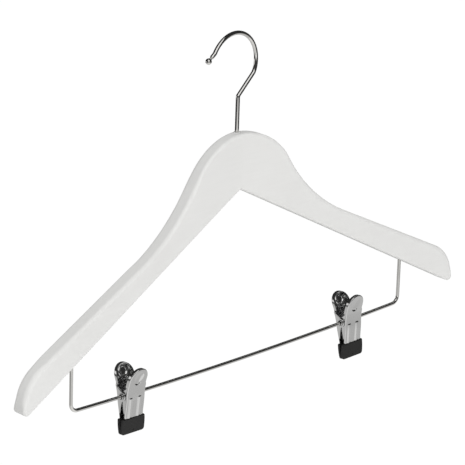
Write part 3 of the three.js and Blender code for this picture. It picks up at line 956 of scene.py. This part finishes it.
def jaw_boundary():
    """Points round a jaw, each with the spine's point that it belongs to and its way outward."""
    tongue = [tongue_end, tongue_end * 0.5 + jaw_foot * 0.5, jaw_foot - TONGUE_STOP]
    sides = [
        jaw_foot + (cap_height - jaw_foot) * i / JAW_SIDE_STEPS for i in range(JAW_SIDE_STEPS + 1)
    ]
    heights = tongue + sides
    boundary = []
    for z in heights:
        half = jaw_half_width(z, OUTER_EAR_HALF_WIDTH)
        boundary.append((Vector((-half, z)), Vector((0, z)), Vector((-1, 0))))
    cap = Vector((0, cap_height))
    for i in range(1, JAW_CAP_STEPS):
        angle = math.pi * (1 - i / JAW_CAP_STEPS)
        outward = Vector((math.cos(angle), math.sin(angle)))
        boundary.append((cap + outward * TAB_HALF_WIDTH, cap, outward))
    for z in reversed(heights):
        half = jaw_half_width(z, INNER_EAR_HALF_WIDTH)
        boundary.append((Vector((half, z)), Vector((0, z)), Vector((1, 0))))
    return boundary


def jaw_column(edge, spine, outward, ringed):
    """Points of the sheet from the spine out to an edge, and down its turned-in rim or ear."""
    flat_end = edge - outward * (SHEET / 2 + RIM_BEND)
    column = []
    for k in range(JAW_INNER_STEPS + 1):
        p = spine.lerp(flat_end, k / JAW_INNER_STEPS)
        y = eased(SHEET_KNOTS, p.y, BEND_SPREAD) + pressed(p.x, p.y, ringed)
        column.append(Vector((p.x, y, p.y)))
    base = eased(SHEET_KNOTS, flat_end.y, BEND_SPREAD)
    if edge.y < jaw_foot:
        outer_steps = JAW_BEND_STEPS + JAW_RIM_STEPS
        for k in range(1, outer_steps + 1):
            p = flat_end.lerp(edge, k / outer_steps)
            column.append(Vector((p.x, base, p.y)))
        return column
    for k in range(1, JAW_BEND_STEPS + 1):
        turn = math.pi / 2 * k / JAW_BEND_STEPS
        p = flat_end + outward * (RIM_BEND * math.sin(turn))
        column.append(Vector((p.x, base - RIM_BEND * (1 - math.cos(turn)), p.y)))
    p = flat_end + outward * RIM_BEND
    reach = ear_front(p.y) if abs(outward.x) == 1 else None
    rim = TAB_RIM if p.y > EAR_RISE else RIM if p.y > -EAR_DROP else FOOT_RIM
    depth = rim if reach is None else max(rim, base - reach)
    for k in range(1, JAW_RIM_STEPS + 1):
        y = base - RIM_BEND - (depth - RIM_BEND) * k / JAW_RIM_STEPS
        column.append(Vector((p.x, max(y, FIT_GAP / 2) if reach is None else y, p.y)))
    return column


def jaw(name, matrix, ringed):
    """One pressed jaw: a bent plate on a flat tongue, with a turned-in rim and side ears."""
    columns = [jaw_column(*place, ringed) for place in jaw_boundary()]
    vertices = [v for column in columns for v in column]
    rows = numbered_rows(len(columns), len(columns[0]))
    obj = new_object(name, vertices, strips(rows, False))
    bm = bmesh.new()
    bm.from_mesh(obj.data)
    bmesh.ops.remove_doubles(bm, verts=bm.verts, dist=SAME_VERTEX)
    bmesh.ops.dissolve_degenerate(bm, dist=SAME_VERTEX, edges=bm.edges)
    bmesh.ops.recalc_face_normals(bm, faces=bm.faces)
    bm.to_mesh(obj.data)
    bm.free()
    thick = obj.modifiers.new("sheet", "SOLIDIFY")
    thick.thickness = SHEET
    thick.offset = 0
    soften = obj.modifiers.new("edge", "BEVEL")
    soften.width = SHEET_EDGE
    soften.segments = SHEET_EDGE_STEPS
    soften.limit_method = "ANGLE"
    soften.angle_limit = SHEET_EDGE_ANGLE
    apply_modifiers(obj)
    obj.data.transform(matrix)
    face_outwards(obj)
    across = matrix @ Matrix.Rotation(math.pi / 2, 4, "Y")
    cut(obj, cylinder(tube_radius + FIT_GAP, JAW_BORE_LENGTH, across))
    shade(obj, angle=40)
    return obj


def pad_outline():
    """The outline of a pad with rounded corners and bulged sides, measured from its top."""
    half = PAD_WIDTH / 2 - PAD_BULGE / 2
    foot = -PAD_HEIGHT
    corners = [Vector(c) for c in ((-half, foot), (half, foot), (half, 0), (-half, 0))]
    radii = (PAD_CORNER, PAD_CORNER, PAD_TOP_CORNER, PAD_TOP_CORNER)
    turns = [
        fillet(corners[i - 1], corners[i], corners[(i + 1) % 4], radius, PAD_SEGMENT)
        for i, radius in enumerate(radii)
    ]
    outline = []
    for i, turn in enumerate(turns):
        outline += turn + line(turn[-1], turns[(i + 1) % 4][0], PAD_STEP)[1:-1]
    return [
        Vector((p.x + p.x / half * PAD_BULGE * (1 - (2 * p.y / foot - 1) ** 2), p.y))
        for p in outline
    ]


def pad(name, matrix):
    """A leaning rubber cap with soft edges, a mark on its outer face and a slot for the tongue."""
    outline = pad_outline()
    mark = Vector((0, -PAD_MARK_DROP))
    count = len(outline)
    columns = []
    for i, p in enumerate(outline):
        t = (outline[(i + 1) % count] - outline[i - 1]).normalized()
        inward = Vector((-t.y, t.x))
        column = rounded_column(p, inward, PAD_ROUND, PAD_ROUND, PAD_THICKNESS, PAD_EDGE_STEPS)
        back_edge, front_edge = column[0], column[-1]
        toward = (Vector((back_edge.x, back_edge.z)) - mark).normalized()
        dished = []
        for share, depth in reversed(PAD_MARK_PROFILE):
            q = mark + toward * (PAD_MARK_RADIUS * share)
            dished.append(Vector((q.x, PAD_THICKNESS / 2 - PAD_MARK_DEPTH * depth, q.y)))
        flat = [dished[-1].lerp(back_edge, k / PAD_BACK_STEPS) for k in range(1, PAD_BACK_STEPS)]
        centre = Vector((mark.x, -PAD_THICKNESS / 2, mark.y))
        centre += Vector((toward.x, 0, toward.y)) * PAD_EYE
        closing = [
            front_edge.lerp(centre, k / PAD_FRONT_STEPS) for k in range(1, PAD_FRONT_STEPS + 1)
        ]
        columns.append(dished + flat + column + closing)
    leaning = Matrix.Translation((0, PAD_STANDOFF, PAD_TOP)) @ Matrix.Rotation(-PAD_TILT, 4, "X")
    vertices = []
    for column in columns:
        for v in column:
            placed = leaning @ v
            placed.y = max(placed.y, FIT_GAP / 2)
            vertices.append(matrix @ placed)
    rows = numbered_rows(count, len(columns[0]))
    faces = strips(rows + rows[:1], False)
    faces.append([row[0] for row in rows])
    faces.append([row[-1] for row in reversed(rows)])
    obj = new_object(name, vertices, faces)
    face_outwards(obj)
    slot_half = TONGUE_HALF_WIDTH + FIT_GAP
    slot_depth = SHEET / 2 + FIT_GAP
    slot_end = -TONGUE_LENGTH - FIT_GAP
    slot = [
        Vector((-slot_half, slot_end)),
        Vector((slot_half, slot_end)),
        Vector((slot_half, SLOT_PAST)),
        Vector((-slot_half, SLOT_PAST)),
    ]
    cut(obj, prism(slot, -slot_depth, slot_depth, matrix @ leaning))
    shade(obj, angle=40, weighted=True)
    return obj


def pivot_tube(name, matrix):
    """A hollow rivet with a rolled head outside each outer ear."""
    end = OUTER_EAR_HALF_WIDTH + FIT_GAP
    head = TUBE_HEAD / 2
    face = end + TUBE_HEAD_WIDTH
    turn_in = TUBE_HEAD_ROUND
    curl = [
        (head - turn_in * (1 - math.cos(turn)), face - turn_in * (1 - math.sin(turn)))
        for turn in QUARTER_TURN
    ]
    inner = [(tube_bore + turn_in, face), (tube_bore, face - turn_in)]
    right = [(tube_radius, end), (head, end), *curl, *inner]
    left = [(r, -h) for r, h in reversed(right)]
    obj = lathe(name, left + right, matrix @ Matrix.Rotation(math.pi / 2, 4, "Y"))
    shade(obj)
    return obj


def torsion_spring(name, matrix):
    """A coil round the tube with an arm against the inside of each tab."""
    radius = tube_radius + FIT_GAP + SPRING_WIRE / 2
    half_coil = SPRING_TURNS * SPRING_PITCH / 2
    arm_inset = SHEET / 2 + FIT_GAP + SPRING_WIRE / 2
    arm_foot = PLATE_STANDOFF - arm_inset
    arm_end = sheet_at(SPRING_ARM_RISE) - arm_inset
    steps = round(SPRING_TURNS * SPRING_TURN_STEPS)
    coil = []
    for i in range(steps + 1):
        turn = -2 * math.pi * SPRING_TURNS * i / steps
        x = half_coil * (2 * i / steps - 1)
        coil.append(Vector((x, radius * math.cos(turn), radius * math.sin(turn))))
    rear = line(
        Vector((-half_coil, arm_end, SPRING_ARM_RISE)),
        Vector((-half_coil, arm_foot, ELBOW_RISE)),
        SPRING_ARM_STEP,
    )
    front = line(
        Vector((half_coil, -arm_foot, ELBOW_RISE)),
        Vector((half_coil, -arm_end, SPRING_ARM_RISE)),
        SPRING_ARM_STEP,
    )
    points = rear + coil + front
    return wire(name, points, [SPRING_WIRE / 2] * len(points), matrix, SPRING_SIDES)


def clip(name, x, swing):
    side = math.copysign(1, x)
    middle = side * (CLIP_REACH_OUT + CLIP_REACH_IN) / 2
    slope = bar_slope(middle)
    bulge = BAR_BOW * ((CLIP_REACH_OUT - CLIP_REACH_IN) / 2 / bar_end) ** 2
    height = bar_height(middle) + slope * (x - middle) + bulge / 2
    hung = Matrix.Rotation(-math.atan(slope), 4, "Y") @ Matrix.Rotation(-swing, 4, "X")
    rear = IN_FRAME @ Matrix.Translation((x, bar_line, height)) @ hung
    front = rear @ Matrix.Rotation(math.pi, 4, "Z")
    bodies = {"rear": f"{name}_rear", "front": f"{name}_front"}
    tube = pivot_tube(f"{name}_clip_rivet", rear)
    finished(tube, f"{name}_slider", f"{name}_pivot_tube", sheet_chrome)
    for part, matrix in (("rear", rear), ("front", front)):
        plate = jaw(f"{name}_{part}_clip_jaw", matrix, part == "rear")
        finished(plate, bodies[part], f"{name}_{part}_jaw", sheet_chrome)
        cap = pad(f"{name}_{part}_clip_pad", matrix)
        finished(cap, bodies[part], f"{name}_{part}_pad", rubber)
    spring = torsion_spring(f"{name}_clip_spring", rear)
    spring.data.materials.append(spring_steel)
    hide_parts(f"{name}_torsion_spring")
    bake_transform(spring)


for clip_name, place in CLIP_PLACES.items():
    clip(clip_name, *place)


# Stage
def emission_or(tree, surface, white):
    """The white shader for camera, glossy and transmission rays, and the surface for all others."""
    path = node(tree, "ShaderNodeLightPath")
    seen = node(tree, "ShaderNodeMath", operation="MAXIMUM")
    link(tree, path.outputs["Is Camera Ray"], seen.inputs[0])
    link(tree, path.outputs["Is Glossy Ray"], seen.inputs[1])
    either = node(tree, "ShaderNodeMath", operation="MAXIMUM")
    link(tree, seen.outputs[0], either.inputs[0])
    link(tree, path.outputs["Is Transmission Ray"], either.inputs[1])
    mix = node(tree, "ShaderNodeMixShader")
    link(tree, either.outputs[0], mix.inputs["Fac"])
    link(tree, surface, mix.inputs[1])
    link(tree, white, mix.inputs[2])
    return mix.outputs["Shader"]


def floor():
    """A pale floor that shows as white but for the object's shadow."""
    low, high = -FLOOR_REACH, FLOOR_REACH
    plan = ((low, low), (high, low), (high, high), (low, high))
    obj = new_object("floor", [(x, y, FLOOR_HEIGHT) for x, y in plan], [(0, 1, 2, 3)])
    made = bpy.data.materials.new("pale_floor")
    tree = bare_tree(made)
    plain = node(tree, "ShaderNodeBsdfDiffuse")
    plain.inputs["Color"].default_value = (FLOOR_GREY, FLOOR_GREY, FLOOR_GREY, 1)
    faint = node(tree, "ShaderNodeBsdfDiffuse")
    shadow_grey = FLOOR_SHADOW_GREY
    faint.inputs["Color"].default_value = (shadow_grey, shadow_grey, shadow_grey, 1)
    glow = node(tree, "ShaderNodeEmission")
    glow.inputs["Strength"].default_value = FLOOR_GLOW
    white = node(tree, "ShaderNodeAddShader")
    link(tree, faint.outputs[0], white.inputs[0])
    link(tree, glow.outputs[0], white.inputs[1])
    output = node(tree, "ShaderNodeOutputMaterial")
    link(tree, emission_or(tree, plain.outputs[0], white.outputs[0]), output.inputs["Surface"])
    obj.data.materials.append(made)


def reflection_card(name, azimuths, greys):
    """A curved card round the hanger that only reflections see, grey by height."""
    first, last = azimuths
    vertices = []
    for j in range(CARD_PIECES + 1):
        elevation = math.radians(CARD_LOWEST + CARD_RISE * j / CARD_PIECES)
        flat = math.cos(elevation)
        for i in range(CARD_PIECES + 1):
            azimuth = math.radians(first + (last - first) * i / CARD_PIECES)
            way = Vector((
                flat * math.cos(azimuth), flat * math.sin(azimuth), math.sin(elevation),
            ))
            vertices.append(Vector(STAGE_CENTRE) + way * CARD_RADIUS)
    rows = numbered_rows(CARD_PIECES + 1, CARD_PIECES + 1)
    obj = new_object(name, vertices, strips(rows, False))
    smooth(obj)
    made = bpy.data.materials.new(name)
    tree = bare_tree(made)
    coordinates = node(tree, "ShaderNodeTexCoord")
    parts = node(tree, "ShaderNodeSeparateXYZ")
    link(tree, coordinates.outputs["Object"], parts.inputs["Vector"])
    height = node(tree, "ShaderNodeMapRange")
    height.inputs["From Min"].default_value = CARD_FOOT
    height.inputs["From Max"].default_value = CARD_TOP
    link(tree, parts.outputs["Z"], height.inputs["Value"])
    tones = node(tree, "ShaderNodeValToRGB")
    stops = tones.color_ramp.elements
    while len(stops) < len(greys):
        stops.new(0.5)
    for stop, (z, grey) in zip(stops, greys):
        stop.position = (z - CARD_FOOT) / (CARD_TOP - CARD_FOOT)
        stop.color = (*(grey * share for share in CARD_TINT), 1)
    link(tree, height.outputs["Result"], tones.inputs["Fac"])
    glow = node(tree, "ShaderNodeEmission")
    link(tree, tones.outputs["Color"], glow.inputs["Color"])
    output = node(tree, "ShaderNodeOutputMaterial")
    link(tree, glow.outputs[0], output.inputs["Surface"])
    obj.data.materials.append(made)
    obj.visible_camera = False
    obj.visible_diffuse = False
    obj.visible_transmission = False
    obj.visible_shadow = False


def area_light(name, position, size, power):
    """A square lamp towards the hanger that reflections don't see."""
    data = bpy.data.lights.new(name, "AREA")
    data.shape = "SQUARE"
    data.size = size
    data.energy = power
    lamp = bpy.data.objects.new(name, data)
    lamp.location = position
    way = Vector(STAGE_CENTRE) - Vector(position)
    lamp.rotation_euler = way.to_track_quat("-Z", "Y").to_euler()
    lamp.visible_glossy = False
    bpy.context.scene.collection.objects.link(lamp)


def world_light():
    """Soft light all round that shows as white."""
    world = bpy.data.worlds.new("studio")
    bpy.context.scene.world = world
    tree = bare_tree(world)
    soft = node(tree, "ShaderNodeBackground")
    soft.inputs["Strength"].default_value = WORLD_STRENGTH
    white = node(tree, "ShaderNodeBackground")
    white.inputs["Strength"].default_value = 1.0
    for background in (soft, white):
        background.inputs["Color"].default_value = (1, 1, 1, 1)
    output = node(tree, "ShaderNodeOutputWorld")
    link(tree, emission_or(tree, soft.outputs[0], white.outputs[0]), output.inputs["Surface"])


def camera():
    right = Vector((math.cos(CAMERA_AZIMUTH), -math.sin(CAMERA_AZIMUTH), 0))
    up = Vector((
        math.sin(CAMERA_AZIMUTH) * math.sin(CAMERA_ELEVATION),
        math.cos(CAMERA_AZIMUTH) * math.sin(CAMERA_ELEVATION),
        math.cos(CAMERA_ELEVATION),
    ))
    back = right.cross(up)
    leaned_right = right * math.cos(CAMERA_ROLL) + up * math.sin(CAMERA_ROLL)
    leaned_up = up * math.cos(CAMERA_ROLL) - right * math.sin(CAMERA_ROLL)
    target_x, target_y, target_z = CAMERA_TARGET
    target = Vector((target_x, target_y, target_z - saddle * MILLIMETRE))
    data = bpy.data.cameras.new("camera")
    data.sensor_width = 36.0
    data.lens = CAMERA_LENS
    data.clip_start = 0.1
    data.clip_end = 200.0
    obj = bpy.data.objects.new("camera", data)
    pose = Matrix((leaned_right, leaned_up, back)).transposed().to_4x4()
    pose.translation = target + back * CAMERA_DISTANCE
    obj.matrix_world = pose
    bpy.context.scene.collection.objects.link(obj)
    bpy.context.scene.camera = obj


floor()
world_light()
reflection_card("right_flag", (-29, 62), DARK)
reflection_card("left_flag", (62, 85), DARK)
reflection_card("left_window", (85, 156), WINDOW)
reflection_card("rear_flag", (156, 200), REAR)
reflection_card("front_flag", (-56, -29), SIDE)
reflection_card("pale_flag", (-85, -56), PALE)
reflection_card("opening", (-160, -85), OPEN)
area_light("key", (-0.63, -1.95, 0.28), size=1.4, power=17.6)
area_light("top", (0, 0.7, 1.2), size=1.2, power=2.0)
camera()
bpy.context.scene.view_settings.view_transform = "Standard"
